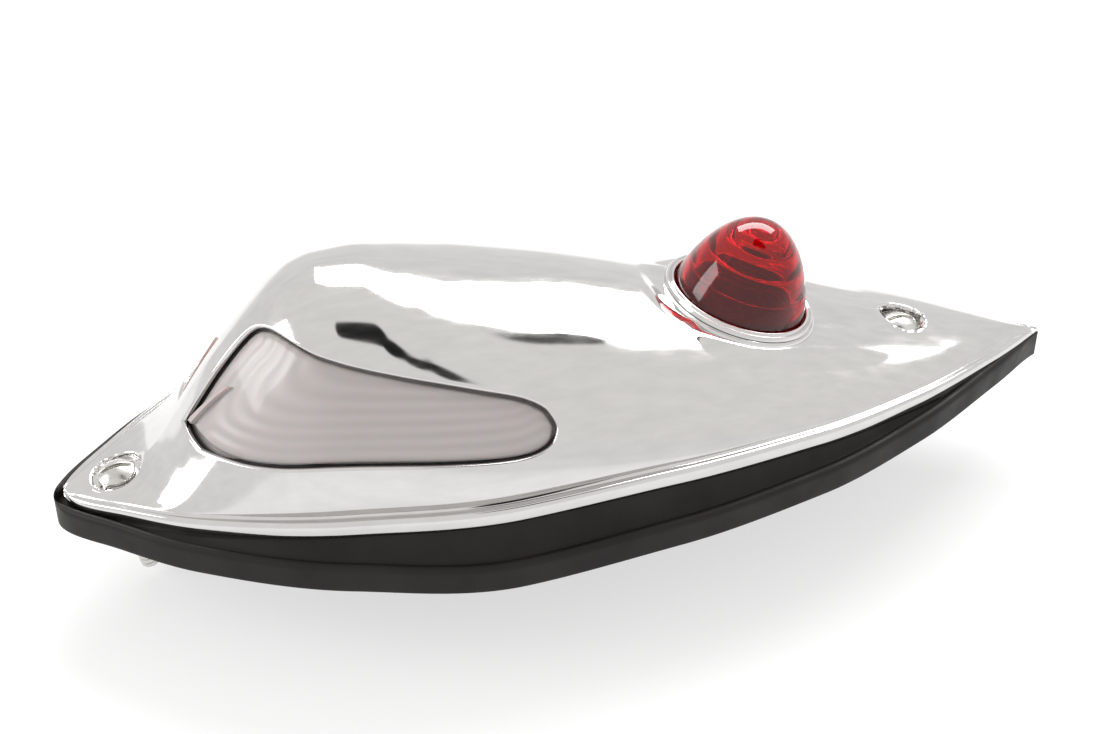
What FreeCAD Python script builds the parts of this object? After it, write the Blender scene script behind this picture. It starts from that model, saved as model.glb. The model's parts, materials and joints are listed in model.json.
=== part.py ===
"""Streamlined fender lamp: chrome housing, wraparound lens, red marker, rubber pad.

Frame: X runs along the lamp with the blunt nose at -X and the sharp tail at +X,
Y across, Z up.  The origin is the crown of the pad's underside, where the lamp
sits on its fender.  Millimetres.
"""
import FreeCAD, Part
import math
import os
import re

Vec = FreeCAD.Vector
DOC = FreeCAD.newDocument("fender_lamp")

# ---------------------------------------------------------------- sizes
SIZES = {
    "length": 240.0, "rim_height": 8.0, "rim_radius": 605.0, "skirt": 3.0, "bead": 3.0,
    "wall": 2.0, "seat_radius_long": 640.0, "seat_radius_cross": 150.0,
    "pad_length": 243.0, "pad_shift": -1.2, "pad_widen": 1.13, "pad_lip": 7.0, "lip_round": 1.4,
    "lens_recess": 0.8, "lens_gap": 0.5, "lens_wall": 2.0, "gasket": 0.6, "frame_wall": 0.8,
    "flange": 3.2, "spine": 3.6,
    "plate": 1.2, "plate_gap": 0.4, "plate_front": -103.5, "plate_rear": 76.5,
    "screw_radius": 2.4, "screw_length": 28.5, "head_radius": 4.4, "head_rim": 0.8, "head_rise": 1.7,
    "slot_width": 1.2, "slot_depth": 1.3, "screw_hole": 2.75, "seat_bore": 5.5,
    "screw_boss": 7.0, "front_screw_x": -108.0, "front_screw_z": -1.2, "front_tilt": -9.0,
    "rear_screw_x": 82.0, "rear_screw_z": 5.0, "rear_tilt": 8.0,
    "washer_hole": 2.43, "washer_radius": 5.4, "washer_wall": 0.8, "washer_travel": 2.0,
    "front_drop": 7.7, "rear_drop": 10.1,
    "marker_x": 39.4, "marker_z": 20.6, "marker_tilt": 16.5, "marker_radius": 15.9,
    "marker_height": 21.0, "marker_wall": 2.0, "marker_flange": 17.1, "boss_radius": 18.9,
    "boss_flare": 20.2, "boss_bore": 14.6, "boss_seat": 17.4, "boss_seat_depth": 3.4,
    "bezel_radius": 18.3, "bezel_height": 1.5,
    "bulb_x": -34.0, "bulb_z": 24.0, "cap_radius": 7.6, "cap_length": 15.0, "glass_radius": 9.5,
    "glass_reach": 14.5, "pin_radius": 1.0, "pin_reach": 9.1, "pin_depth": 6.0,
    "shell_bore": 7.75, "shell_radius": 8.45, "shell_length": 23.0, "push": 2.0, "turn": 18.0,
}

SHEET = DOC.addObject("Spreadsheet::Sheet", "Sizes")
for row, (alias, value) in enumerate(SIZES.items(), start=1):
    SHEET.set("A%d" % row, alias)
    SHEET.set("B%d" % row, str(value))
    SHEET.setAlias("B%d" % row, alias)
DOC.recompute()


def size(alias):
    """A driving dimension, read back from the sheet."""
    return float(SHEET.get(alias))


LENGTH = size("length")
RIM = size("rim_height")
SKIRT = size("skirt")
PARTS = []

# Half width of the chrome outline against the share of the length from the nose.
OUTLINE = [(0.0, 0.0), (0.04, 11.7), (0.12, 25.6), (0.25, 38.8), (0.4, 45.8), (0.55, 43.5),
           (0.7, 36.9), (0.82, 26.2), (0.93, 11.4), (1.0, 0.0)]
# Height of the crest above the rim's mid-length level, nose to tail.
CREST = [(-120, -11.4), (-112, -9.2), (-106, -7.6), (-102, -5.4), (-99, -2.6), (-96, 1.2),
         (-92, 7.2), (-88, 13.4), (-84, 19.1), (-79, 25.1), (-74, 29.9), (-69, 33.7),
         (-64, 36.2), (-58, 37.6), (-50, 37.4), (-40, 35.3), (-28, 32.0), (-15, 28.9),
         (0, 25.6), (12, 22.4), (25, 18.4), (38, 14.0), (52, 9.3), (66, 4.7), (82, -0.1),
         (100, -4.9), (112, -8.6), (120, -11.6)]
# Superellipse exponent of the cross-section: keen at the nose, full in the hood, tent-like behind.
FULLNESS = [(-120, 1.25), (-100, 1.25), (-92, 1.3), (-84, 1.4), (-75, 1.65), (-62, 1.95),
            (-30, 1.95), (0, 1.7), (25, 1.5), (60, 1.4), (120, 1.4)]
# Window outline in side view, height above the rim's mid-length level.
WINDOW_LEFT_LOW = (-92.6, 7.0)
WINDOW_LEFT_TOP = (-75.6, 29.6)
WINDOW_TOP = [(-70.5, 30.6), (-59.0, 29.0), (-40.0, 25.0), (-21.0, 19.8)]
WINDOW_END = (-14.2, 13.6)
WINDOW_LOW_END = (-20.5, 8.8)
WINDOW_SILL = [(-40.0, 9.3), (-62.0, 8.8), (-80.0, 5.6)]
WINDOW_CORNER = (-89.6, 4.2)


# ---------------------------------------------------------------- form of the body
def smooth_table(points):
    """Monotone cubic through a table of (x, value) pairs."""
    xs = [p[0] for p in points]
    ys = [p[1] for p in points]
    rise = [(ys[i + 1] - ys[i]) / (xs[i + 1] - xs[i]) for i in range(len(xs) - 1)]
    slope = [rise[0]]
    for i in range(1, len(rise)):
        before, after = rise[i - 1], rise[i]
        slope.append(0.0 if before * after <= 0 else 2 * before * after / (before + after))
    slope.append(rise[-1])

    def value(x):
        x = min(max(x, xs[0]), xs[-1])
        i = max(j for j in range(len(rise)) if xs[j] <= x)
        span = xs[i + 1] - xs[i]
        u = (x - xs[i]) / span
        return (ys[i] * (1 + 2 * u) * (1 - u) ** 2 + slope[i] * span * u * (1 - u) ** 2
                + ys[i + 1] * u * u * (3 - 2 * u) - slope[i + 1] * span * u * u * (1 - u))
    return value


outline_of = smooth_table([(math.sqrt(share), width) for share, width in OUTLINE])
crest_of = smooth_table(CREST)
fullness_of = smooth_table(FULLNESS)


def half_width(x):
    """Half width of the chrome outline; the root makes the nose round in plan."""
    share = min(max(x / LENGTH + 0.5, 0.0), 1.0)
    return outline_of(math.sqrt(share))


def rim_z(x):
    """Height of the chrome rim, arched to follow the fender."""
    return RIM - x * x / (2 * size("rim_radius"))


def foot_half(x):
    """Half width of the dome's foot, inside the rim bead."""
    width = half_width(x)
    return width - min(size("bead"), width / 2)


def dome_points(x, inset, count=15):
    """Cross-section of the dome at x, drawn inward by inset, from the -Y foot to the +Y foot."""
    lean = min(max((-50.0 - x) / 40.0, 0.0), 1.0)
    station = x - 0.8 * inset * lean
    base = rim_z(x) + 0.8
    half = foot_half(station) - inset
    rise = RIM + crest_of(station) - base - inset * (1 - 0.4 * lean)
    power = 2.0 / fullness_of(station)
    points = []
    for i in range(count):
        angle = math.pi * (i / (count - 1) - 0.5)
        side = math.copysign(abs(math.sin(angle)) ** power, angle)
        points.append(Vec(x, half * side, base + rise * max(math.cos(angle), 0.0) ** power))
    return points


def spline(points):
    """Interpolated edge with evenly spaced parameters, so that neighbouring sections match."""
    curve = Part.BSplineCurve()
    curve.interpolate(Points=points, Parameters=[i / (len(points) - 1) for i in range(len(points))])
    return curve.toShape()


def closed_wire(edges, points):
    """One wire from an edge and the straight runs that close it."""
    runs = [Part.makeLine(a, b) for a, b in zip(points, points[1:])]
    return Part.Wire(edges + runs)


def dome_solid(inset, stations, floor):
    """Solid under the dome drawn inward by inset, down to floor below the rim."""
    wires = []
    for x in stations:
        crown = dome_points(x, inset)
        low = rim_z(x) - floor
        corners = [crown[-1], Vec(x, crown[-1].y, low), Vec(x, crown[0].y, low), crown[0]]
        wires.append(closed_wire([spline(crown)], corners))
    return Part.makeLoft(wires, True, False)


def housing_blank():
    """Outer form of the housing: skirt, rim bead and dome."""
    stations = [-119.5, -117.0, -113.0, -109.0, -105.5, -102.5, -100.0, -97.0, -94.0, -90.0, -86.0,
                -82.0, -77.0, -72.0, -66.0, -59.0, -50.0, -40.0, -28.0, -15.0, 0.0, 14.0, 28.0,
                42.0, 56.0, 70.0, 84.0, 98.0, 109.0, 116.0, 119.3]
    wires = []
    for x in stations:
        crown = dome_points(x, 0.0)
        wide = half_width(x)
        edge = min(0.7, wide / 4)
        top = rim_z(x)
        right = [crown[-1], Vec(x, wide - edge, top), Vec(x, wide, top - edge), Vec(x, wide, top - SKIRT)]
        left = [Vec(x, -p.y, p.z) for p in reversed(right)]
        wires.append(closed_wire([spline(crown)], right + left))
    return Part.makeLoft(wires, True, False)


def window_face(grow):
    """Window outline in side view, grown outward by grow, as a face on the XZ plane."""
    path = [WINDOW_LEFT_TOP] + WINDOW_TOP + [WINDOW_END, WINDOW_LOW_END]
    path += WINDOW_SILL + [WINDOW_CORNER, WINDOW_LEFT_LOW]
    moved = []
    for i, (x, z) in enumerate(path):
        before, after = path[i - 1], path[(i + 1) % len(path)]
        along = Vec(after[0] - before[0], 0, after[1] - before[1]).normalize()
        moved.append(Vec(x - grow * along.z, 0, RIM + z + grow * along.x))
    turn = path.index(WINDOW_LOW_END)
    top = Part.BSplineCurve()
    top.interpolate(moved[:turn + 1])
    sill = Part.BSplineCurve()
    sill.interpolate(moved[turn:])
    return Part.Face(Part.Wire([top.toShape(), sill.toShape(), Part.makeLine(moved[-1], moved[0])]))


def window_block(grow):
    """Prism across the lamp through both windows."""
    block = window_face(grow).extrude(Vec(0, 140, 0))
    block.translate(Vec(0, -70, 0))
    return block


def spine_block(half):
    """Block round the mid-plane that leaves the chrome spine standing between the windows."""
    return Part.makeBox(120, 2 * half, 60, Vec(-125, -half, -5))


def dome_shell(outer, inner):
    """Skin of the dome between two inward distances."""
    inside = cavity_stations(inner)[1:] + [68.0]
    return dome_solid(outer, cavity_stations(outer), 6.0).cut(dome_solid(inner, inside, 7.0))


def cavity_stations(inset):
    """Stations along the lamp where the dome still stands clear above the rim."""
    stations = [-98.0, -97.0, -96.0, -95.0, -94.0, -93.0, -92.0, -91.0, -90.0, -88.0, -86.0, -82.0, -77.0,
                -72.0, -66.0, -59.0, -50.0, -40.0, -28.0, -15.0, 0.0, 14.0, 28.0, 42.0, 56.0, 66.0]
    return [x for x in stations if max(p.z for p in dome_points(x, inset)) > rim_z(x) + 1.8]


# ---------------------------------------------------------------- document helpers
def sheet(text):
    """A sheet expression from a text that uses the bare aliases."""
    return re.sub(r"[a-z_]+", lambda m: "Sizes." + m.group(0) if m.group(0) in SIZES else m.group(0), text)


def formed(label, shape, placement=None):
    """A sub-part whose free form is set from Part's own functions."""
    item = DOC.addObject("Part::Feature", label)
    item.Shape = shape
    return publish(item, label, placement)


def publish(item, label, placement=None):
    """Mark an object as a sub-part of the lamp."""
    item.Label = label
    if placement:
        item.Placement = placement.multiply(item.Placement)
    PARTS.append(item)
    return item


def primitive(kind, **bound):
    """A Part primitive whose sizes and base point are sheet expressions."""
    item = DOC.addObject("Part::" + kind, kind.lower())
    for name, text in bound.items():
        target = "Placement.Base." + name[-1] if name in ("base_x", "base_y", "base_z") else name
        item.setExpression(target, sheet(text))
    return item


def rod(radius, height, base="0"):
    """Cylinder on the local Z axis."""
    return primitive("Cylinder", Radius=radius, Height=height, base_z=base)


def block(x, y, z, dx, dy, dz):
    """Box from its low corner and its three sizes."""
    return primitive("Box", Length=dx, Width=dy, Height=dz, base_x=x, base_y=y, base_z=z)


def cut(base, *tools):
    """Boolean difference of one object and several tools."""
    for tool in tools:
        item = DOC.addObject("Part::Cut", "cut")
        item.Base = base
        item.Tool = tool
        base = item
    return base


def fuse(*items):
    """Boolean union of several objects."""
    item = DOC.addObject("Part::MultiFuse", "fuse")
    item.Shapes = list(items)
    return item


def tube(outer, inner, height, base="0"):
    """Ring or tube on the local Z axis."""
    return cut(rod(outer, height, base), rod(inner, "(%s) + 2" % height, "(%s) - 1" % base))


def turned(item, axis, degrees):
    """The same object turned about a local axis through the origin."""
    item.Placement = FreeCAD.Placement(item.Placement.Base, FreeCAD.Rotation(axis, degrees))
    return item


def revolve(edges):
    """Solid of revolution about Z from the edges of a closed half profile."""
    return Part.Face(Part.Wire(edges)).revolve(Vec(0, 0, 0), Vec(0, 0, 1), 360)


def runs(*points):
    """Straight edges through (radius, height) corners of a half profile."""
    corners = [Vec(radius, 0, height) for radius, height in points]
    return [Part.makeLine(a, b) for a, b in zip(corners, corners[1:])]


def sweep(*points):
    """One smooth edge through (radius, height) points of a half profile."""
    curve = Part.BSplineCurve()
    curve.interpolate([Vec(radius, 0, height) for radius, height in points])
    return [curve.toShape()]


def tilted(x, z, degrees):
    """Placement of a piece whose own Z axis leans by degrees towards +X."""
    return FreeCAD.Placement(Vec(x, 0, z), FreeCAD.Rotation(Vec(0, 1, 0), degrees))


FRONT_AXIS = tilted(size("front_screw_x"), size("front_screw_z"), size("front_tilt"))
REAR_AXIS = tilted(size("rear_screw_x"), size("rear_screw_z"), size("rear_tilt"))
MARKER_AXIS = tilted(size("marker_x"), size("marker_z"), size("marker_tilt"))
BULB_AXIS = tilted(size("bulb_x"), size("bulb_z"), -90.0)


def placed(shape, placement):
    """Copy of a shape moved into place."""
    moved = shape.copy()
    moved.Placement = placement
    return moved


def cylinder(radius, low, high):
    """Plain cylinder on the local Z axis, from low to high."""
    return Part.makeCylinder(radius, high - low, Vec(0, 0, low))


# ---------------------------------------------------------------- base plate and its screw places
PLATE_HOLES = [(x, side * y) for x, y in ((-99.5, 8.0), (71.0, 13.0)) for side in (-1, 1)]
BRACKET_HOLES = [(-6.0, -6.5), (-6.0, 6.5)]
GROMMET_X = 8.0


def plate_low(x):
    """Height of the base plate's underside, which lies on the pad."""
    return rim_z(x) - SKIRT


def arched_strip(low, high, start, end):
    """Slab across the lamp that follows the rim's arch between two heights above the rim."""
    mid = (start + end) / 2
    lines = []
    for height in (low, high):
        ends = [Vec(x, -60, rim_z(x) + height) for x in (start, mid, end)]
        lines.append(Part.Arc(*ends).toShape())
    ends = [(lines[0].Vertexes[i].Point, lines[1].Vertexes[i].Point) for i in (0, 1)]
    sides = [Part.makeLine(*pair) for pair in ends]
    face = Part.Face(Part.Wire(Part.__sortEdges__([lines[0], lines[1]] + sides)))
    return face.extrude(Vec(0, 120, 0))


def plan_prism(inset, start, end):
    """Upright prism over the chrome outline drawn inward by inset."""
    stations = [start + (end - start) * i / 14 for i in range(15)]
    right = [Vec(x, half_width(x) - inset, -20) for x in stations]
    left = [Vec(p.x, -p.y, p.z) for p in right]
    edges = []
    for side in (right, left):
        curve = Part.BSplineCurve()
        curve.interpolate(side)
        edges.append(curve.toShape())
    edges += [Part.makeLine(left[0], right[0]), Part.makeLine(right[-1], left[-1])]
    return Part.Face(Part.Wire(Part.__sortEdges__(edges))).extrude(Vec(0, 0, 60))


# ---------------------------------------------------------------- housing
def make_housing():
    """Die-cast chrome body: hollow dome, two windows, marker boss, screw seats, plate pocket."""
    wall = size("wall")
    hollow = dome_solid(wall, cavity_stations(wall), SKIRT + 1)
    body = housing_blank().cut(hollow)
    body = body.cut(window_block(0.0).cut(spine_block(size("spine"))))
    front, rear = size("plate_front") - 0.5, size("plate_rear") + 0.5
    pocket = arched_strip(-SKIRT - 1, size("plate") - SKIRT, front - 2, rear + 2)
    body = body.cut(pocket.common(plan_prism(wall + size("bead") + size("plate_gap") / 2, front, rear)))
    for x, y in PLATE_HOLES:
        body = body.cut(Part.makeCylinder(1.25, 4.8, Vec(x, y, plate_low(x))))
    skirt = 6.0
    flare = Part.makeCone(size("boss_flare"), size("boss_radius"), skirt, Vec(0, 0, -skirt))
    boss = placed(flare, MARKER_AXIS)
    body = body.fuse(boss)
    above = cylinder(size("boss_radius"), 0, 12)
    bore = cylinder(size("boss_bore"), -30, 12)
    seat = cylinder(size("boss_seat"), -size("boss_seat_depth"), 12)
    inside = cylinder(size("boss_seat"), -30, -size("boss_seat_depth") - 1.6)
    for tool in (above, bore, seat, inside):
        body = body.cut(placed(tool, MARKER_AXIS))
    for axis in (FRONT_AXIS, REAR_AXIS):
        body = body.cut(placed(cylinder(size("screw_hole"), -20, 1), axis))
        body = body.cut(placed(cylinder(size("seat_bore"), 0, 14), axis))
    return formed("housing", body)


# ---------------------------------------------------------------- white lens and what holds it
def make_main_lens():
    """Wraparound lens: a pane that fills each window and a flange behind the wall."""
    wall = size("wall") + size("gasket")
    inner = wall + size("lens_wall")
    flange = dome_shell(wall, inner).common(window_block(size("flange")))
    panes = window_block(-size("lens_gap")).cut(spine_block(size("spine") + size("lens_gap")))
    pane = dome_shell(size("lens_recess"), inner).common(panes)
    return formed("main_lens", flange.fuse(pane))


def make_lens_gasket():
    """Thin rubber band between the housing wall and the lens flange."""
    wall = size("wall")
    opening = window_block(0.3).cut(spine_block(size("spine")))
    band = dome_shell(wall + 0.1, wall + size("gasket") - 0.1).common(window_block(size("flange")))
    return formed("lens_gasket", band.cut(opening))


def make_lens_frame():
    """Pressed steel frame that clamps the lens flange from inside."""
    wall = size("wall") + size("gasket") + size("lens_wall") + 0.05
    band = dome_shell(wall, wall + size("frame_wall")).common(window_block(size("flange")))
    return formed("lens_frame", band.cut(window_block(-1.2)))


# ---------------------------------------------------------------- base
def make_base_plate():
    """Arched steel plate that closes the housing, with holes for the cable and four screws."""
    front, rear = size("plate_front"), size("plate_rear")
    plate = plan_prism(size("wall") + size("bead") + size("plate_gap"), front, rear)
    plate = plate.common(arched_strip(-SKIRT, size("plate") - SKIRT, front - 2, rear + 2))
    for x, y in PLATE_HOLES:
        plate = plate.cut(Part.makeCylinder(1.6, 10, Vec(x, y, plate_low(x) - 4)))
    for x, y in BRACKET_HOLES:
        plate = plate.cut(Part.makeCylinder(1.55, 10, Vec(x, y, plate_low(x) - 4)))
    plate = plate.cut(Part.makeCylinder(5.6, 10, Vec(GROMMET_X, 0, plate_low(GROMMET_X) - 4)))
    return formed("base_plate", plate)


def make_plate_screws():
    """Four pan-head screws that hold the plate to the solid ends of the housing."""
    solids = []
    for x, y in PLATE_HOLES:
        low = plate_low(abs(x) + 2.7)
        head = Part.makeCylinder(2.6, 1.6, Vec(x, y, low - 1.6))
        head = head.makeFillet(0.6, [head.Edges[2]])
        shank = Part.makeCylinder(1.2, 4.6, Vec(x, y, low - 0.2))
        slot = Part.makeBox(6, 0.7, 0.7, Vec(x - 3, y - 0.35, low - 1.6))
        solids.append(head.fuse(shank).cut(slot))
    return formed("plate_screws", Part.makeCompound(solids))


def pad_half(x):
    """Half width of the pad's lip."""
    return half_width((x - size("pad_shift")) * LENGTH / size("pad_length")) * size("pad_widen")


def seat_z(x, y):
    """Height of the saddle-shaped underside, cut to sit on the fender's crown."""
    return -x * x / (2 * size("seat_radius_long")) - y * y / (2 * size("seat_radius_cross"))


def make_pad():
    """Rubber pad: saddle underside, raised outer lip and a hollowed slope up to the housing."""
    half_long = size("pad_length") / 2
    lip, rounding = size("pad_lip"), size("lip_round")
    wires = []
    for share in (-0.998, -0.985, -0.96, -0.92, -0.86, -0.78, -0.68, -0.55, -0.4, -0.2, 0.0, 0.2, 0.4,
                  0.55, 0.68, 0.78, 0.87, 0.94, 0.98, 0.997):
        x = size("pad_shift") + half_long * share
        wide = pad_half(x)
        foot = seat_z(x, wide)
        small = min(rounding, wide / 4)
        ledge = max(min(half_width(x) - 1.0, wide - 2.2 * small), wide * 0.3)
        top = max(rim_z(x) - SKIRT, seat_z(x, 0) + 1.5)
        slope_out = wide - 2 * small
        crown = foot + lip
        middle = Vec(x, (slope_out + ledge) / 2, (crown - 0.6 + top) / 2 - 0.12 * abs(crown - top))
        right = [Vec(x, wide, foot), Vec(x, wide, crown - small), Vec(x, wide - small, crown),
                 Vec(x, slope_out, crown - 0.6), middle, Vec(x, ledge, top)]
        left = [Vec(x, -p.y, p.z) for p in reversed(right)]
        under = spline([Vec(x, -wide + wide * i / 4, seat_z(x, -wide + wide * i / 4)) for i in range(9)])
        wires.append(closed_wire([under], right + left))
    pad = Part.makeLoft(wires, True, False)
    pad = pad.cut(arched_strip(-SKIRT, 30, -119, 119).common(plan_prism(0.0, -119, 118.5)))
    drops = (size("front_drop"), size("rear_drop"))
    for axis, drop in zip((FRONT_AXIS, REAR_AXIS), drops):
        pad = pad.cut(placed(cylinder(3.0, -30, 0), axis))
        roof = size("washer_wall") + size("washer_travel")
        pad = pad.cut(placed(cylinder(size("washer_radius") + 0.6, -30, roof - drop), axis))
    for x, y in PLATE_HOLES:
        pad = pad.cut(Part.makeCylinder(3.2, 4, Vec(x, y, plate_low(x) - 2.4)))
    pad = pad.cut(Part.makeCylinder(9.0, 30, Vec(GROMMET_X, 0, -20)))
    return formed("mounting_pad", pad)


def make_grommet():
    """Rubber ring for the cable, grooved round the plate's hole."""
    low = plate_low(GROMMET_X)
    neck = size("plate")
    profile = runs((3.0, -2.0), (7.4, -2.0), (7.4, -0.2), (5.5, -0.2), (5.5, neck + 0.1), (7.4, neck + 0.1),
                   (7.0, neck + 2.0), (3.0, neck + 2.0), (3.0, -2.0))
    return formed("wire_grommet", revolve(profile), FreeCAD.Placement(Vec(GROMMET_X, 0, low), FreeCAD.Rotation()))


def make_ground_tab():
    """Spade terminal on the plate with its rivet."""
    low = plate_low(20.0) + size("plate")
    lift = str(round(low, 3))
    foot = block("20", "-3.15", lift, "10", "6.3", "0.8")
    blade = block("29.2", "-3.15", lift, "0.8", "6.3", "9")
    rivet = primitive("Cylinder", Radius="1.5", Height="1.7", base_x="24", base_z=lift)
    return publish(fuse(foot, blade, rivet), "ground_tab")


# ---------------------------------------------------------------- fixing screws
def make_fixing(label, axis, drop):
    """Domed slotted screw and the washer that keeps it captive under the pad."""
    rise = "(head_radius^2 + head_rise^2) / (2 * head_rise)"
    shank = rod("screw_radius", "screw_length - 1", "-screw_length + 1")
    tip = primitive("Cone", Radius1="screw_radius - 0.8", Radius2="screw_radius", Height="1",
                    base_z="-screw_length")
    rim = rod("head_radius", "head_rim")
    ball = primitive("Sphere", Radius=rise, base_z="head_rim + head_rise - %s" % rise)
    dome = DOC.addObject("Part::Common", "dome")
    dome.Base = ball
    dome.Tool = rod("head_radius", "head_rise + 1", "head_rim")
    slot = block("-head_radius - 1", "-slot_width / 2", "head_rim + head_rise - slot_depth",
                 "2 * head_radius + 2", "slot_width", "slot_depth + 1")
    publish(cut(fuse(shank, tip, rim, dome), slot), label + "_screw", axis)
    washer = tube("washer_radius", "washer_hole", "washer_wall", "-%s" % drop)
    publish(washer, label + "_washer", axis)


# ---------------------------------------------------------------- red marker
def bullet(radius, height, count=9):
    """Half profile of the marker's rounded cone, from its base to its tip."""
    heights = [height * (1 - (1 - i / (count - 1)) ** 2) for i in range(count)]
    return [(radius * math.sqrt(1 - (level / height) ** 1.46), level) for level in heights]


def make_marker_lens():
    """Red bullet lens with stepped rings inside and a flange under its bezel."""
    radius, wall = size("marker_radius"), size("marker_wall")
    flange, low = size("marker_flange"), -2.2
    outside = sweep(*bullet(radius, size("marker_height")))
    inner_radius = radius - wall
    top = size("marker_height") - wall
    skirt = runs((0, top), (4.2, top), (5.4, top - 3.0), (8.4, top - 3.4), (9.6, top - 7.6),
                 (11.6, top - 8.0), (12.6, top - 12.6), (inner_radius, top - 13.0), (inner_radius, low),
                 (flange, low), (flange, 0), (radius, 0))
    axis = runs((0, size("marker_height")), (0, top))
    return formed("marker_lens", revolve(outside + axis + skirt), MARKER_AXIS)


def make_marker_bezel():
    """Chrome ring with two beads, pressed into the boss over the lens flange."""
    inner, outer, rise = size("marker_radius") + 0.12, size("bezel_radius"), size("bezel_height")
    groove = (inner + outer) / 2
    beads = sweep((outer, 0.15), (outer - 0.35, rise * 0.75), (outer - 0.75, rise * 0.8), (groove, rise * 0.62),
                  (inner + 0.8, rise * 0.98), (inner + 0.35, rise), (inner, rise * 0.55))
    close = runs((inner, rise * 0.55), (inner, 0.02), (outer, 0.02), (outer, 0.15))
    return formed("marker_bezel", revolve(beads + close), MARKER_AXIS)


# ---------------------------------------------------------------- bulb
def make_bulb():
    """Single-filament bayonet bulb: glass, cap with two pins, contact, supports and filament."""
    radius, reach = size("glass_radius"), size("glass_reach")
    cap_top = 3.0
    neck = size("cap_radius") - 1.6

    def globe(skin, base):
        ball = radius - skin
        angle = math.asin((neck - skin) / ball)
        start = math.pi - angle
        arc = [(ball * math.sin(start * (1 - i / 8)), reach + ball * math.cos(start * (1 - i / 8)))
               for i in range(9)]
        arc[-1] = (0.0, reach + ball)
        stem = (neck - skin, arc[0][1])
        side = runs((0, base), (neck - skin, base), stem)
        return revolve(side + sweep(*arc) + runs((0, reach + ball), (0, base)))

    glass = globe(0.0, -2.0).cut(globe(0.6, -3.0))
    formed("bulb_glass", glass, BULB_AXIS)
    barrel = cut(rod("cap_radius", "cap_length", "3 - cap_length"),
                 rod("cap_radius - 1.6", "5", "-2"))
    pin = primitive("Cylinder", Radius="pin_radius", Height="2 * pin_reach", base_x="-pin_reach",
                    base_z="-pin_depth")
    turned(pin, Vec(0, 1, 0), 90)
    publish(fuse(barrel, pin), "bulb_cap", BULB_AXIS)
    contact = primitive("Cone", Radius1="2.4", Radius2="3.2", Height="1.5", base_z="1.5 - cap_length")
    publish(contact, "bulb_contact", BULB_AXIS)
    posts = [Part.makeCylinder(0.3, reach - 3.5, Vec(side * 3.0, 0, 2.2)) for side in (-1, 1)]
    bead = Part.makeSphere(1.9, Vec(0, 0, 4.4))
    bar = Part.makeBox(6.6, 0.9, 0.9, Vec(-3.3, -0.45, 5.0))
    mount = posts[0].fuse(posts[1]).fuse(bead).fuse(bar)
    formed("filament_mount", mount, BULB_AXIS)
    coil = Part.makeHelix(0.55, 4.95, 0.6)
    wire = Part.Wire(coil.Edges)
    ring = Part.Wire(Part.makeCircle(0.14, Vec(0.6, 0, 0), Vec(0, 1, 0)))
    thread = wire.makePipeShell([ring], True, True)
    thread.Placement = FreeCAD.Placement(Vec(-2.475, 0, reach - 0.6), FreeCAD.Rotation(Vec(0, 1, 0), 90))
    formed("filament", thread, BULB_AXIS)


# ---------------------------------------------------------------- socket
def make_socket():
    """Bayonet socket: slotted shell, insulated back, sprung contact carrier and its coil."""
    shell = tube("shell_radius", "shell_bore", "shell_length", "1 - shell_length")
    margin = 10.5
    tools = []
    for half_turn in (0, 180):
        entry = block("0", "-1.35", "-pin_depth - 1.3", "shell_radius + 1", "2.7", "pin_depth + 3")
        tools.append(turned(entry, Vec(0, 0, 1), size("turn") + half_turn))
        sector = primitive("Cylinder", Radius="shell_radius + 1", Height="2.5 + push",
                           Angle="turn + %s" % (2 * margin), base_z="-pin_depth - 1.25 - push")
        tools.append(turned(sector, Vec(0, 0, 1), half_turn - margin))
    publish(cut(shell, *tools), "socket_shell", BULB_AXIS)
    publish(tube("shell_bore", "2.2", "1", "1 - shell_length"), "socket_back", BULB_AXIS)
    carrier = tube("cap_radius", "1.6", "2.4", "-16.5")
    publish(carrier, "contact_carrier", BULB_AXIS)
    button = fuse(rod("3", "0.6", "-14.1"), rod("1.6", "2.4", "-16.5"))
    publish(button, "socket_contact", BULB_AXIS)
    coil = Part.makeHelix(1.2, 3.6, 5.2)
    ring = Part.Wire(Part.makeCircle(0.35, Vec(5.2, 0, 0), Vec(0, 1, 0)))
    spring = Part.Wire(coil.Edges).makePipeShell([ring], True, True)
    spring.Placement = FreeCAD.Placement(Vec(0, 0, -20.55), FreeCAD.Rotation())
    formed("socket_spring", Part.makeCompound([spring]).Solids[0], BULB_AXIS)


def make_bracket():
    """Bent steel strap that carries the socket, and its two rivets."""
    top = size("bulb_z")
    rear = size("bulb_x") + 19.0
    low = max(plate_low(rear), plate_low(rear + 16)) + size("plate")
    upright = Part.makeBox(1.4, 22, top + 10 - low, Vec(rear - 1.4, -11, low))
    foot = Part.makeBox(16.2, 22, 1.4, Vec(rear - 1.4, -11, low))
    hole = placed(cylinder(size("shell_radius"), -40, 10), BULB_AXIS)
    corners = [e for e in upright.Edges if abs(e.BoundBox.XLength - 1.4) < 1e-6 and e.BoundBox.ZMin > top]
    upright = upright.makeFillet(7.0, corners)
    rivets = []
    strap = upright.fuse(foot).cut(hole)
    for x, y in BRACKET_HOLES:
        bottom = plate_low(x)
        stem = Part.makeCylinder(1.5, low + 1.4 - bottom, Vec(x, y, bottom))
        head = Part.makeSphere(2.8, Vec(x, y, low + 0.4)).common(
            Part.makeBox(8, 8, 4, Vec(x - 4, y - 4, low + 1.4)))
        strap = strap.cut(stem)
        rivets.append(stem.fuse(head))
    formed("socket_bracket", strap)
    formed("bracket_rivets", Part.makeCompound(rivets))


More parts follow.
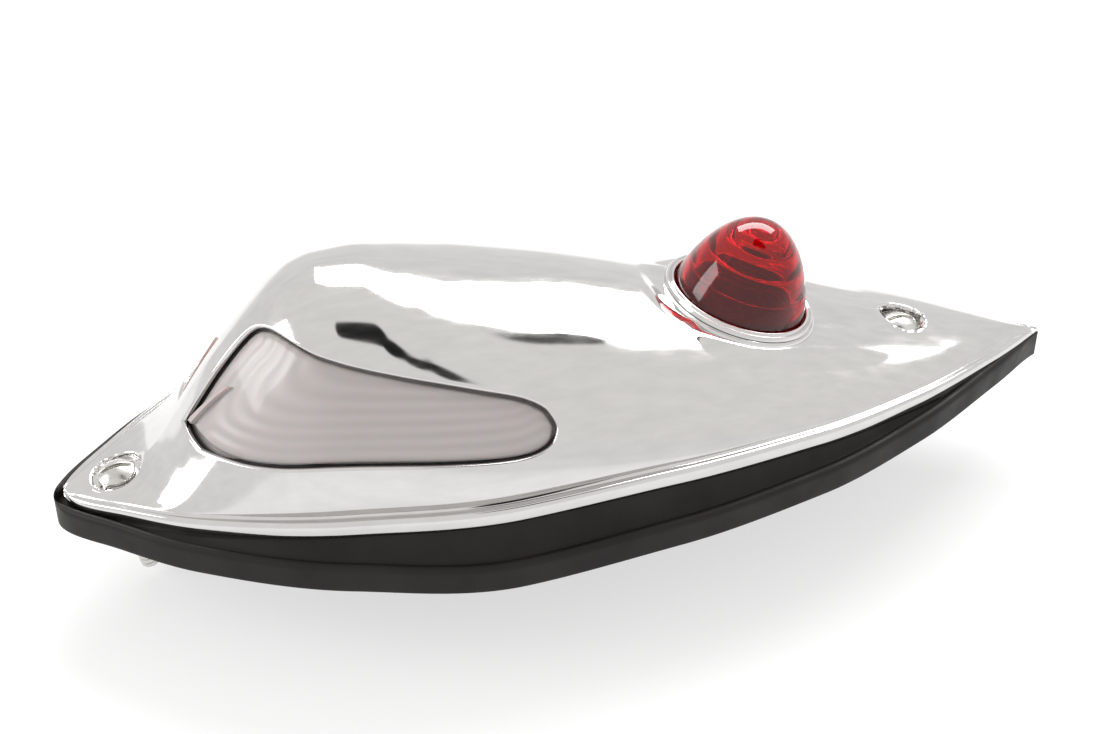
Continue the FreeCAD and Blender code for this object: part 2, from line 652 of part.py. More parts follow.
def make_reflector():
    """Bright trough under the bulb, standing on the plate on two feet."""
    radius = 22.0
    front, rear = size("bulb_x") - 36.0, size("bulb_x") + 2.0
    ring = Part.makeCylinder(radius, rear - front, Vec(front, 0, size("bulb_z") + 8.0), Vec(1, 0, 0))
    hollow = Part.makeCylinder(radius - 0.8, rear - front + 2, Vec(front - 1, 0, size("bulb_z") + 8.0), Vec(1, 0, 0))
    keep = Part.makeBox(rear - front, 34, 14, Vec(front, -17, size("bulb_z") - 14.5))
    trough = ring.cut(hollow).common(keep)
    feet = []
    for x in (front + 6, rear - 10):
        low = plate_low(x) + size("plate")
        if plate_low(x + 4) + size("plate") > low:
            low = plate_low(x + 4) + size("plate")
        foot = Part.makeBox(4, 12, size("bulb_z") - 13.6 - low, Vec(x, -6, low))
        feet.append(foot.cut(hollow))
    return formed("reflector", trough.fuse(feet[0]).fuse(feet[1]))


# ---------------------------------------------------------------- build and write
make_housing()
make_main_lens()
make_lens_gasket()
make_lens_frame()
make_base_plate()
make_plate_screws()
make_pad()
make_grommet()
make_ground_tab()
make_fixing("front", FRONT_AXIS, "front_drop")
make_fixing("rear", REAR_AXIS, "rear_drop")
make_marker_lens()
make_marker_bezel()
publish(tube("marker_flange", "marker_radius - marker_wall", "boss_seat_depth - 2.2", "-boss_seat_depth"),
        "marker_gasket", MARKER_AXIS)
make_bulb()
make_socket()
make_bracket()
make_reflector()

DOC.recompute()
for item in DOC.Objects:
    if "Invalid" in item.State or "Error" in item.State:
        raise RuntimeError("%s did not compute: %s" % (item.Label, item.State))
os.makedirs("parts", exist_ok=True)
for item in PARTS:
    if item.Shape.isNull() or not item.Shape.isValid():
        raise RuntimeError("%s has no valid shape" % item.Label)
    item.Shape.exportStep("parts/%s.step" % item.Label)
    print("%-16s %8.1f mm3, %d solid(s)" % (item.Label, item.Shape.Volume, len(item.Shape.Solids)))
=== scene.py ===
import json
import math

import bpy
import numpy as np
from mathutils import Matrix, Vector


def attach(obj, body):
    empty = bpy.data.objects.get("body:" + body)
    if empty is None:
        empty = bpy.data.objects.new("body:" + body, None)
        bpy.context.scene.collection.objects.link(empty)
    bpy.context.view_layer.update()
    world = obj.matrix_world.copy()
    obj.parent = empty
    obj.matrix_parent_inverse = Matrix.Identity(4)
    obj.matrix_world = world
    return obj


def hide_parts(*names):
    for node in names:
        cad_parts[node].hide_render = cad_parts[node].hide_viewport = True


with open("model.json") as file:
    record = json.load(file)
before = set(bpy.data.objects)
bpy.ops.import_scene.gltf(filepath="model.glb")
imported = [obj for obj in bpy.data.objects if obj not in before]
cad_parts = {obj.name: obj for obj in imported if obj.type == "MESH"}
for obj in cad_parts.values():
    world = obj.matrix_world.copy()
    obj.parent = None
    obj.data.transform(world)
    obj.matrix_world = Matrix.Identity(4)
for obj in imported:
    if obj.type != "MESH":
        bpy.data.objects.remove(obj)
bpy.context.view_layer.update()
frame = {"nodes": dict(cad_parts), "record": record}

bl_info = {
    "name": "Streamlined fender lamp",
    "version": (1, 0, 0),
    "blender": (4, 5, 0),
    "location": "View3D > Sidebar > Lamp",
    "description": "Builds the chrome fender lamp's pieces, finishes and studio",
    "category": "Object",
}

# ------------------------------------------------------------------ driving sizes, millimetres
LENGTH = 240.0
RIM = 8.0
RIM_RADIUS = 605.0
SKIRT = 3.0
BEAD = 3.0
SPINE = 3.6
SEAT_LONG = 640.0
SEAT_CROSS = 150.0
MARKER_AT = (39.4, 0.0, 20.6)
MARKER_TILT = 16.5
FRONT_SCREW = ((-108.0, 0.0, -1.2), -9.0)
REAR_SCREW = ((82.0, 0.0, 5.0), 8.0)
SCREW_LENGTH = 28.5
SHANK_RADIUS = 2.4
THREAD_PITCH = 1.27
HEAD_RADIUS = 4.4
HEAD_RIM = 0.8
HEAD_RISE = 1.7
SLOT_FLOOR = 1.2
SLOT_HALF = 0.59
CUP_RADIUS = 6.2
SHAFT_RADIUS = 6.0
MARKER_HOLE = 18.2
MARKER_RADIUS = 15.9
MARKER_HEIGHT = 21.0
MARKER_BORE = 13.7
MARKER_ROOF = 18.8
MARKER_POWER = 1.46
LENS_WALL = 1.3
PAD_LENGTH = 243.0
PAD_SHIFT = 1.2
PAD_WIDEN = 1.13
PAD_LIP = 7.0
LIP_ROUND = 1.4
CABLE_X = 8.0
CABLE_RADIUS = 9.0
HOLE_SPAN = 14.0

# Half width of the chrome outline against the root of the length share from the nose.
OUTLINE = [(0.0, 0.0), (0.04, 11.7), (0.12, 25.6), (0.25, 38.8), (0.4, 45.8), (0.55, 43.5),
           (0.7, 36.9), (0.82, 26.2), (0.93, 11.4), (1.0, 0.0)]
# Height of the crest above the rim's mid-length level, nose to tail.
CREST = [(-120, -11.4), (-112, -9.2), (-106, -7.6), (-102, -5.4), (-99, -2.6), (-96, 1.2),
         (-92, 7.2), (-88, 13.4), (-84, 19.1), (-79, 25.1), (-74, 29.9), (-69, 33.7),
         (-64, 36.2), (-58, 37.6), (-50, 37.4), (-40, 35.3), (-28, 32.0), (-15, 28.9),
         (0, 25.6), (12, 22.4), (25, 18.4), (38, 14.0), (52, 9.3), (66, 4.7), (82, -0.1),
         (100, -4.9), (112, -8.6), (120, -11.6)]
# Fullness (superellipse exponent) of the cross-section along the lamp.
FULLNESS = [(-120, 1.25), (-100, 1.25), (-92, 1.3), (-84, 1.4), (-75, 1.65), (-62, 1.95),
            (-30, 1.95), (0, 1.7), (25, 1.5), (60, 1.4), (120, 1.4)]
# Window outline in side view: hood edge, rounded end, sill, lower corner and the slanted edge
# beside the nose ridge.
WINDOW_TOP = [(-75.6, 29.6), (-70.5, 30.6), (-59.0, 29.0), (-40.0, 25.0), (-21.0, 19.8), (-16.0, 17.2)]
WINDOW_END = [(-16.0, 17.2), (-14.2, 13.6), (-16.2, 10.2)]
WINDOW_SILL = [(-16.2, 10.2), (-20.5, 8.8), (-40.0, 9.3), (-62.0, 8.8), (-80.0, 5.6), (-89.6, 4.2)]
WINDOW_CORNER = [(-89.6, 4.2), (-91.8, 5.0), (-92.6, 7.0)]
WINDOW_RIDGE = [(-92.6, 7.0), (-84.0, 18.4), (-75.6, 29.6)]


# ------------------------------------------------------------------ form of the body
def smooth_table(points):
    """Monotone cubic through (x, value) pairs: slopes are harmonic means of the neighbouring runs."""
    xs, ys = np.array(points, float).T
    rise = np.diff(ys) / np.diff(xs)
    product = rise[:-1] * rise[1:]
    total = rise[:-1] + rise[1:]
    inner = np.where(product > 0, 2 * product / np.where(total == 0, 1, total), 0.0)
    slope = np.concatenate([rise[:1], inner, rise[-1:]])

    def value(x):
        x = np.clip(x, xs[0], xs[-1])
        i = np.clip(np.searchsorted(xs, x, side="right") - 1, 0, len(rise) - 1)
        span = xs[i + 1] - xs[i]
        u = (x - xs[i]) / span
        return (ys[i] * (1 + 2 * u) * (1 - u) ** 2 + slope[i] * span * u * (1 - u) ** 2
                + ys[i + 1] * u * u * (3 - 2 * u) - slope[i + 1] * span * u * u * (1 - u))
    return value


outline_of = smooth_table([(math.sqrt(share), width) for share, width in OUTLINE])
crest_of = smooth_table(CREST)
fullness_of = smooth_table(FULLNESS)


def blend(low, high, value):
    """Smooth step from 0 at low to 1 at high."""
    share = np.clip((value - low) / (high - low), 0.0, 1.0)
    return share * share * (3 - 2 * share)


def half_width(x):
    """Half width of the chrome outline; the root rounds the nose in plan."""
    return outline_of(np.sqrt(np.clip(x / LENGTH + 0.5, 0.0, 1.0)))


def rim_z(x):
    """Rim height: an arch of the rim radius."""
    return RIM - x * x / (2 * RIM_RADIUS)


def foot_half(x):
    """Half width of the dome's foot, inside the rim bead."""
    width = half_width(x)
    return width - np.minimum(BEAD, width / 2)


def foot_z(x):
    """Height of the dome's foot."""
    return rim_z(x) + 0.8


def tilt_frame(centre, degrees):
    """Centre, forward and up directions of a round feature that leans by degrees towards +X."""
    lean = math.radians(degrees)
    return (np.array(centre, float), np.array([math.cos(lean), 0, -math.sin(lean)]),
            np.array([math.sin(lean), 0, math.cos(lean)]))


def local_of(points, tilt):
    """Forward, side and up coordinates of points in a tilted frame."""
    centre, forward, up = tilt
    rel = points - centre
    return rel @ forward, rel[..., 1], rel @ up


MARKER = tilt_frame(MARKER_AT, MARKER_TILT)
FRONT = tilt_frame(*FRONT_SCREW)
REAR = tilt_frame(*REAR_SCREW)


def body_skin(x, turn):
    """Point of the dome: a superellipse section, turn 0 at the crest to a quarter turn at the foot.

    Near the marker the skin is drawn to its ring: down to the ring's plane ahead of it, and
    up to it along a tongue that fades out behind it.
    """
    power = 2.0 / fullness_of(x)
    half = foot_half(x)
    rise = RIM + crest_of(x) - foot_z(x)
    points = np.stack([x, -half * np.sin(turn) ** power,
                       foot_z(x) + rise * np.maximum(np.cos(turn), 0) ** power], -1)
    ahead, side, above = local_of(points, MARKER)
    reach = np.hypot(ahead, side)
    toward_tail = np.maximum(ahead / np.maximum(reach, 1e-6), 0.0)
    press = np.maximum(above + 0.35, 0.0) * (1 - blend(19.4, 26.0, reach))
    length = 5.0 + 22.0 * toward_tail ** 4
    lift = np.maximum(-0.9 - above, 0.0) * (1 - blend(18.4, 19.0 + length, reach))
    return points + (lift - press)[..., None] * MARKER[2]


def skin_frame(x, turn):
    """Partial derivatives and outward normal of the dome by central differences, just off the crest."""
    step = 1e-3
    turn = np.maximum(turn, 0.06)
    along = (body_skin(x + step, turn) - body_skin(x - step, turn)) / (2 * step)
    low, high = np.maximum(turn - step, 0), np.minimum(turn + step, math.pi / 2)
    across = (body_skin(x, high) - body_skin(x, low)) / (high - low)[..., None]
    normal = np.cross(across, along)
    normal /= np.maximum(np.linalg.norm(normal, axis=-1, keepdims=True), 1e-9)
    return along, across, normal


# ------------------------------------------------------------------ mesh tools
def grid_faces(rows, columns, start=0):
    """Quads of a grid of vertices stored row by row."""
    index = start + np.arange(rows * columns).reshape(rows, columns)
    return np.stack([index[:-1, :-1], index[1:, :-1], index[1:, 1:], index[:-1, 1:]], -1).reshape(-1, 4)


def ring_faces(rows, columns, start=0):
    """Quads of a grid whose rows close on themselves."""
    index = start + np.arange(rows * columns).reshape(rows, columns)
    nxt = np.roll(index, -1, axis=1)
    return np.stack([index[:-1], index[1:], nxt[1:], nxt[:-1]], -1).reshape(-1, 4)


def join(*meshes):
    """One (vertices, quads) pair from several."""
    points, faces, count = [], [], 0
    for vertices, quads in meshes:
        points.append(vertices.reshape(-1, 3))
        faces.append(quads + count)
        count += len(points[-1])
    return np.concatenate(points), np.concatenate(faces)


def merged(vertices, quads):
    """The mesh with vertices that coincide made one, and collapsed faces dropped."""
    rounded_off = np.round(vertices, 4) + 0.0
    first, where = np.unique(rounded_off, axis=0, return_index=True, return_inverse=True)[1:]
    quads = where.reshape(-1)[quads]
    corners = np.sort(quads, axis=1)
    distinct = 1 + (np.diff(corners, axis=1) != 0).sum(1)
    return vertices[first], quads[distinct >= 3]


def mirrored(vertices, quads):
    """The mesh with its mirror image across the lamp's mid-plane."""
    other = vertices * np.array([1.0, -1.0, 1.0])
    return merged(*join((vertices, quads), (other, quads[:, ::-1])))


def vertex_normals(vertices, quads):
    """Area-weighted normals from the quads' diagonals."""
    corner = vertices[quads]
    face = np.cross(corner[:, 2] - corner[:, 0], corner[:, 3] - corner[:, 1])
    normals = np.zeros_like(vertices)
    for k in range(4):
        np.add.at(normals, quads[:, k], face)
    return normals / np.maximum(np.linalg.norm(normals, axis=1, keepdims=True), 1e-12)


def facing(vertices, quads, centre):
    """The open sheet with its faces turned away from a centre."""
    vertices = vertices.reshape(-1, 3)
    corner = vertices[quads]
    face = np.cross(corner[:, 2] - corner[:, 0], corner[:, 3] - corner[:, 1])
    away = (face * (corner.mean(1) - np.array(centre))).sum()
    return vertices, quads if away > 0 else quads[:, ::-1]


def solid(vertices, quads):
    """The closed mesh with its faces outward, told by the sign of its volume."""
    a, b, c, d = np.moveaxis(vertices[quads], 1, 0)
    volume = (a * np.cross(b, c)).sum() + (a * np.cross(c, d)).sum()
    return vertices, quads if volume > 0 else quads[:, ::-1]


def open_edges(quads):
    """Directed edges that only one face uses."""
    pairs = np.concatenate([quads[:, [k, (k + 1) % 4]] for k in range(4)])
    pairs = pairs[pairs[:, 0] != pairs[:, 1]]
    size = int(quads.max()) + 1
    code = pairs[:, 0].astype(np.int64) * size + pairs[:, 1]
    back = pairs[:, 1].astype(np.int64) * size + pairs[:, 0]
    return pairs[~np.isin(code, back)]


def thicken(vertices, quads, wall, lip, steps=6):
    """Sheet given a wall inward, with lips that bulge by lip along every open edge."""
    normals = vertex_normals(vertices, quads)
    edges = open_edges(quads)
    outward = np.zeros_like(vertices)
    run = vertices[edges[:, 1]] - vertices[edges[:, 0]]
    for k in (0, 1):
        np.add.at(outward, edges[:, k], np.cross(run, normals[edges[:, k]]))
    outward /= np.maximum(np.linalg.norm(outward, axis=1, keepdims=True), 1e-12)
    count = len(vertices)
    layers = [vertices]
    half = wall / 2
    lip = np.minimum(lip, half)
    for k in range(1, steps):
        angle = math.pi * k / steps
        bulge = outward * lip * math.sin(angle)
        layers.append(vertices - normals * half * (1 - math.cos(angle)) + bulge)
    layers.append(vertices - normals * wall)
    faces = [quads, quads[:, ::-1] + steps * count]
    for k in range(steps):
        low, high = k * count, (k + 1) * count
        start, end = edges.T
        faces.append(np.stack([end + low, start + low, start + high, end + high], -1))
    return compact(np.concatenate(layers), np.concatenate(faces))


def compact(vertices, quads):
    """The mesh without the vertices that no face uses."""
    used, index = np.unique(quads, return_inverse=True)
    return vertices[used], index.reshape(quads.shape)


def punch(vertices, quads, tilt, radius):
    """Round hole about a tilted axis: faces inside are dropped, those it cuts are drawn to its circle."""
    centre, forward, up = tilt
    ahead, side, above = local_of(vertices, tilt)
    ring = np.hypot(ahead, side)
    inside = (ring < radius) & (np.abs(above) < HOLE_SPAN)
    kept = ~inside[quads].all(1)
    drawn = np.zeros(len(vertices), bool)
    drawn[quads[kept]] = True
    drawn &= inside
    scale = np.where(drawn, radius / np.maximum(ring, 1e-6), 1.0)
    moved = centre + (ahead * scale)[:, None] * forward + above[:, None] * up
    moved[:, 1] = side * scale
    return np.where(drawn[:, None], moved, vertices), quads[kept]


def lathe(profile, tilt, columns=96):
    """Surface of revolution about a tilted axis from (radius, height) points."""
    centre, forward, up = tilt
    radius, height = np.array(profile, float).T
    angle = np.linspace(0, 2 * math.pi, columns, endpoint=False)
    ring = np.cos(angle)[:, None] * forward + np.sin(angle)[:, None] * np.array([0.0, 1.0, 0.0])
    points = centre + radius[:, None, None] * ring + (height[:, None] * up)[:, None, :]
    return solid(*merged(points.reshape(-1, 3), ring_faces(len(radius), columns)))


def rounded(corners, radius, steps=5):
    """Closed outline of (radius, height) corners, each eased by a short Bezier of the given reach."""
    corners = np.array(corners, float)
    before, after = np.roll(corners, 1, axis=0), np.roll(corners, -1, axis=0)
    out = []
    for last, here, following in zip(before, corners, after):
        if here[0] <= 1e-9:
            out.append(here[None])
            continue
        a, b = last - here, following - here
        la, lb = np.linalg.norm(a), np.linalg.norm(b)
        start = here + a * min(radius, la / 2) / la
        end = here + b * min(radius, lb / 2) / lb
        u = np.linspace(0, 1, steps)[:, None]
        out.append((1 - u) ** 2 * start + 2 * u * (1 - u) * here + u * u * end)
    return np.concatenate(out + [out[0][:1]])


def piece(name, mesh, body, stands_for=(), material=None):
    """Blender object from millimetre arrays, shaded smooth, riding on its body."""
    vertices, quads = merged(*mesh)
    faces = [list(dict.fromkeys(face)) for face in quads.tolist()]
    data = bpy.data.meshes.new(name)
    data.from_pydata((vertices * 0.001).tolist(), [], faces)
    data.validate()
    data.shade_smooth()
    data.set_sharp_from_angle(angle=math.radians(50.0))
    item = bpy.data.objects.new(name, data)
    bpy.context.scene.collection.objects.link(item)
    if material:
        data.materials.append(material)
    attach(item, body)
    if stands_for:
        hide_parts(*stands_for)
    return item


# ------------------------------------------------------------------ window and body
def curve_through(points, count):
    """Centripetal curve through side-view points, sampled evenly by length."""
    points = np.array(points, float)
    padded = np.concatenate([[2 * points[0] - points[1]], points, [2 * points[-1] - points[-2]]])
    u = np.linspace(0, 1, 24, endpoint=False)[:, None]
    runs = []
    for a, b, c, d in zip(padded, padded[1:], padded[2:], padded[3:]):
        lo, hi = (c - a) / 2, (d - b) / 2
        scale = np.linalg.norm(c - b)
        lo *= min(1.0, scale / max(np.linalg.norm(lo), 1e-9))
        hi *= min(1.0, scale / max(np.linalg.norm(hi), 1e-9))
        runs.append(b * (1 + 2 * u) * (1 - u) ** 2 + lo * u * (1 - u) ** 2
                    + c * u * u * (3 - 2 * u) - hi * u * u * (1 - u))
    dense = np.concatenate(runs + [points[-1:]])
    length = np.concatenate([[0], np.cumsum(np.linalg.norm(np.diff(dense, axis=0), axis=1))])
    at = np.linspace(0, length[-1], count)
    return np.stack([np.interp(at, length, dense[:, k]) for k in (0, 1)], -1)


# Points along the block's long, short and ridge sides, its rings, and stations before and behind it.
LONG, SHORT, RIDGE, RINGS = 84, 60, 40, 27
NOSE_STATIONS, TAIL_STATIONS = 36, 150
BLOCK_FRONT, BLOCK_REAR, BLOCK_RIDGE = -101.0, -4.0, -77.0
SMOOTHING_PASSES = 24
BODY_SIDES = ((WINDOW_TOP, LONG), (WINDOW_END, SHORT), (WINDOW_SILL, LONG), (WINDOW_CORNER, SHORT),
              (WINDOW_RIDGE, RIDGE))
LENS_SIDES = ((WINDOW_TOP, LONG), (WINDOW_END, SHORT), (WINDOW_SILL, LONG),
              (WINDOW_CORNER + WINDOW_RIDGE[1:], SHORT))


def window_loop(sides):
    """Window outline on the dome as (x, turn), each side with its own number of points."""
    outline = np.concatenate([curve_through(points, count + 1)[:-1] for points, count in sides])
    x = outline[:, 0]
    power = 2.0 / fullness_of(x)
    rise = RIM + crest_of(x) - foot_z(x)
    share = np.clip((RIM + outline[:, 1] - foot_z(x)) / rise, 0, 1)
    side = foot_half(x) * (1 - share ** fullness_of(x)) ** (power / 2)
    side = np.maximum(side, SPINE)
    turn = np.arcsin(np.clip((side / foot_half(x)) ** (1 / power), 0, 1))
    loop = np.stack([x, turn], -1)
    for _ in range(SMOOTHING_PASSES):
        loop = (np.roll(loop, 1, 0) + 2 * loop + np.roll(loop, -1, 0)) / 4
    return loop


def shifted(loop, distance):
    """Loop on the dome moved towards the window's middle by a distance along the skin."""
    x, turn = loop.T
    along, across, normal = skin_frame(x, turn)
    place = body_skin(x, turn)
    run = np.roll(place, -1, 0) - np.roll(place, 1, 0)
    inward = np.cross(run, normal)
    inward /= np.linalg.norm(inward, axis=1, keepdims=True)
    middle = place.mean(0)
    inward *= np.sign(((middle - place) * inward).sum(1).mean())
    a, b, c = (along * along).sum(1), (along * across).sum(1), (across * across).sum(1)
    p, q = (along * inward).sum(1), (across * inward).sum(1)
    det = a * c - b * b
    return loop + distance * np.stack([(p * c - q * b) / det, (q * a - p * b) / det], -1)


def block_border():
    """Border of the block of skin that holds the window, in the loop's order, as (x, turn)."""
    quarter = math.pi / 2
    xs = np.linspace(BLOCK_FRONT, BLOCK_REAR, LONG + 1)
    turns = np.linspace(0, quarter, SHORT + 1)
    top = np.stack([np.linspace(BLOCK_RIDGE, BLOCK_REAR, LONG + 1)[:-1], np.zeros(LONG)], -1)
    rear = np.stack([np.full(SHORT, BLOCK_REAR), turns[:-1]], -1)
    foot = np.stack([xs[:0:-1], np.full(LONG, quarter)], -1)
    front = np.stack([np.full(SHORT, BLOCK_FRONT), turns[:0:-1]], -1)
    ridge = np.stack([np.linspace(BLOCK_FRONT, BLOCK_RIDGE, RIDGE + 1)[:-1], np.zeros(RIDGE)], -1)
    return np.concatenate([top, rear, foot, front, ridge])


def housing_sheet():
    """Outer skin: window block, nose and tail grids, rim bead and skirt of one side, then its mirror."""
    loop, border = window_loop(BODY_SIDES), block_border()
    share = (np.linspace(0, 1, RINGS) ** 1.25)[:, None, None]
    block = loop + (border - loop) * share
    parts = [(body_skin(block[..., 0], block[..., 1]), ring_faces(RINGS, len(loop)))]
    nose = -LENGTH / 2 + (BLOCK_FRONT + LENGTH / 2) * np.linspace(0, 1, NOSE_STATIONS) ** 2
    tail = BLOCK_REAR + (LENGTH / 2 - BLOCK_REAR) * np.linspace(0, 1, TAIL_STATIONS)
    turns = np.linspace(0, math.pi / 2, SHORT + 1)
    for xs in (nose, tail):
        grid = body_skin(*np.broadcast_arrays(xs[:, None], turns[None, :]))
        parts.append((grid, grid_faces(len(xs), len(turns))))
    xs = np.concatenate([nose, np.linspace(BLOCK_FRONT, BLOCK_REAR, LONG + 1)[1:-1], tail])
    edge = np.array([(3.0, 0.8), (2.7, 0.62), (2.35, 0.48), (2.0, 0.46), (1.65, 0.58), (1.25, 0.7),
                     (0.85, 0.68), (0.5, 0.48), (0.2, 0.12), (0.04, -0.4), (0.0, -1.0), (0.0, -2.0),
                     (0.0, -SKIRT)])
    shrink = np.minimum(1.0, half_width(xs) / 6.0)[:, None]
    rim = np.stack([np.broadcast_to(xs[:, None], (len(xs), len(edge))),
                    -(half_width(xs)[:, None] - edge[:, 0] * shrink),
                    rim_z(xs)[:, None] + edge[:, 1]], -1)
    parts.append((rim, grid_faces(len(xs), len(edge))))
    turned = [facing(points, faces, (points[..., 0].mean(), 0.0, -30.0)) for points, faces in parts]
    return mirrored(*merged(*join(*turned)))


def seat_cup(tilt, depth):
    """Round recess for a screw head: floor with the screw's hole, and a wall up to the skin."""
    section = [(2.7, -0.8), (2.7, 0.0), (5.8, 0.0), (6.1, depth), (6.9, depth), (6.9, -0.8)]
    return lathe(rounded(section, 0.15), tilt)


def build_housing():
    """Chrome body with windows, marker boss and screw recesses."""
    sheet = housing_sheet()
    sheet = punch(*sheet, MARKER, MARKER_HOLE)
    sheet = punch(*sheet, FRONT, CUP_RADIUS)
    sheet = punch(*sheet, REAR, CUP_RADIUS)
    wall = np.minimum(1.7, 0.05 + 0.3 * half_width(sheet[0][:, :1]))
    shell = solid(*thicken(*sheet, wall, 0.3 * wall))
    section = [(17.5, -7.0), (17.5, -0.1), (18.3, 0.0), (18.9, -0.35), (19.1, -1.6), (19.6, -3.4),
               (20.6, -5.6), (20.4, -7.0)]
    boss = lathe(rounded(section, 0.4), MARKER, 128)
    return join(shell, boss, seat_cup(FRONT, 0.5), seat_cup(REAR, 1.6))


def middle_line(loop):
    """For each point of the loop, where it shrinks to: halfway between hood edge and sill, ends held."""
    top, low = loop[:LONG + 1], loop[LONG + SHORT:2 * LONG + SHORT + 1][::-1]
    line = (top + low) / 2
    ends = np.ones((SHORT, 1))
    return np.concatenate([line[:-1], ends * line[-1], line[:0:-1], ends * line[0]])


def build_lens():
    """White lens: each pane crowned inside its window and stepped down to a flange behind the wall."""
    loop = window_loop(LENS_SIDES)
    steps = [(-2.4, 3.0), (0.7, 3.0), (0.85, 2.2), (1.1, 1.75), (1.7, 1.5), (2.6, 1.42)]
    rows = [np.insert(shifted(loop, distance), 2, depth, axis=1) for distance, depth in steps]
    inward = middle_line(rows[-1][:, :2])
    for share in np.linspace(0, 1, 26)[1:]:
        place = rows[len(steps) - 1][:, :2] * (1 - share) + inward * share
        rows.append(np.insert(place, 2, steps[-1][1], axis=1))
    grid = np.stack(rows)
    x, turn, depth = grid[..., 0], np.clip(grid[..., 1], 0.0, math.pi / 2), grid[..., 2:]
    skin = body_skin(x, turn) - skin_frame(x, turn)[2] * depth
    sheet = merged(*facing(skin.reshape(-1, 3), ring_faces(len(rows), len(loop)), (-50.0, 0.0, 0.0)))
    pane = solid(*thicken(*sheet, LENS_WALL, 0.3, 4))
    other = pane[0] * np.array([1.0, -1.0, 1.0]), pane[1][:, ::-1]
    return join(pane, other)


def rib_distance(points):
    """Millimetres from the sill and the nose edge, joined as (a^-3 + b^-3)^(-1/3) so that ribs turn."""
    loop = window_loop(LENS_SIDES)
    near = points * np.array([1.0, 0.0, 1.0]) - np.abs(points) * np.array([0.0, 1.0, 0.0])
    total = 0.0
    for part in (loop[LONG + SHORT:2 * LONG + SHORT], loop[2 * LONG + SHORT + 8:]):
        line = body_skin(part[:, 0], part[:, 1])
        total = total + (((near[:, None] - line[None]) ** 2).sum(-1).min(1) + 0.01) ** -1.5
    return total ** (-1 / 3)


# ------------------------------------------------------------------ marker, pad and screws
def build_marker_lens():
    """Red lens turned about the marker's axis: r = R sqrt(1 - (z / H)^1.46), stepped rings inside."""
    share = np.linspace(0, 1, 60)
    height = MARKER_HEIGHT * (1 - (1 - share) ** 2)
    outer = MARKER_RADIUS * np.sqrt(1 - (height / MARKER_HEIGHT) ** MARKER_POWER)
    share = np.linspace(1, 0, 113)
    level = MARKER_ROOF * (1 - (1 - share) ** 2)
    step = 1.1 * np.abs((share * 5) % 1.0 - 0.5) ** 3 * 8
    inner = MARKER_BORE * np.sqrt(1 - (level / MARKER_ROOF) ** MARKER_POWER)
    inside = np.stack([inner, level - step * np.minimum(1, share * 6)], -1)
    foot = [(13.9, -0.6), (13.9, -2.2), (17.1, -2.2), (17.1, 0.0), (MARKER_RADIUS, 0.0)]
    return lathe(np.concatenate([np.stack([outer, height], -1), inside, foot]), MARKER, 128)


def build_bezel():
    """Chrome ring with two beads, turned about the marker's axis."""
    ring = [(16.02, 0.02), (18.3, 0.02), (18.3, 0.35), (17.95, 1.12), (17.55, 1.2), (17.16, 0.75),
            (16.82, 1.47), (16.37, 1.5), (16.02, 0.82)]
    return lathe(rounded(ring, 0.25), MARKER, 160)


def pad_half(x):
    """Half width of the pad's lip: the chrome outline, longer, wider and shifted to the nose."""
    return half_width((x + PAD_SHIFT) * LENGTH / PAD_LENGTH) * PAD_WIDEN


def seat_z(x, y):
    """Saddle of the underside: falls with the squares of x and y."""
    return -x * x / (2 * SEAT_LONG) - y * y / (2 * SEAT_CROSS)


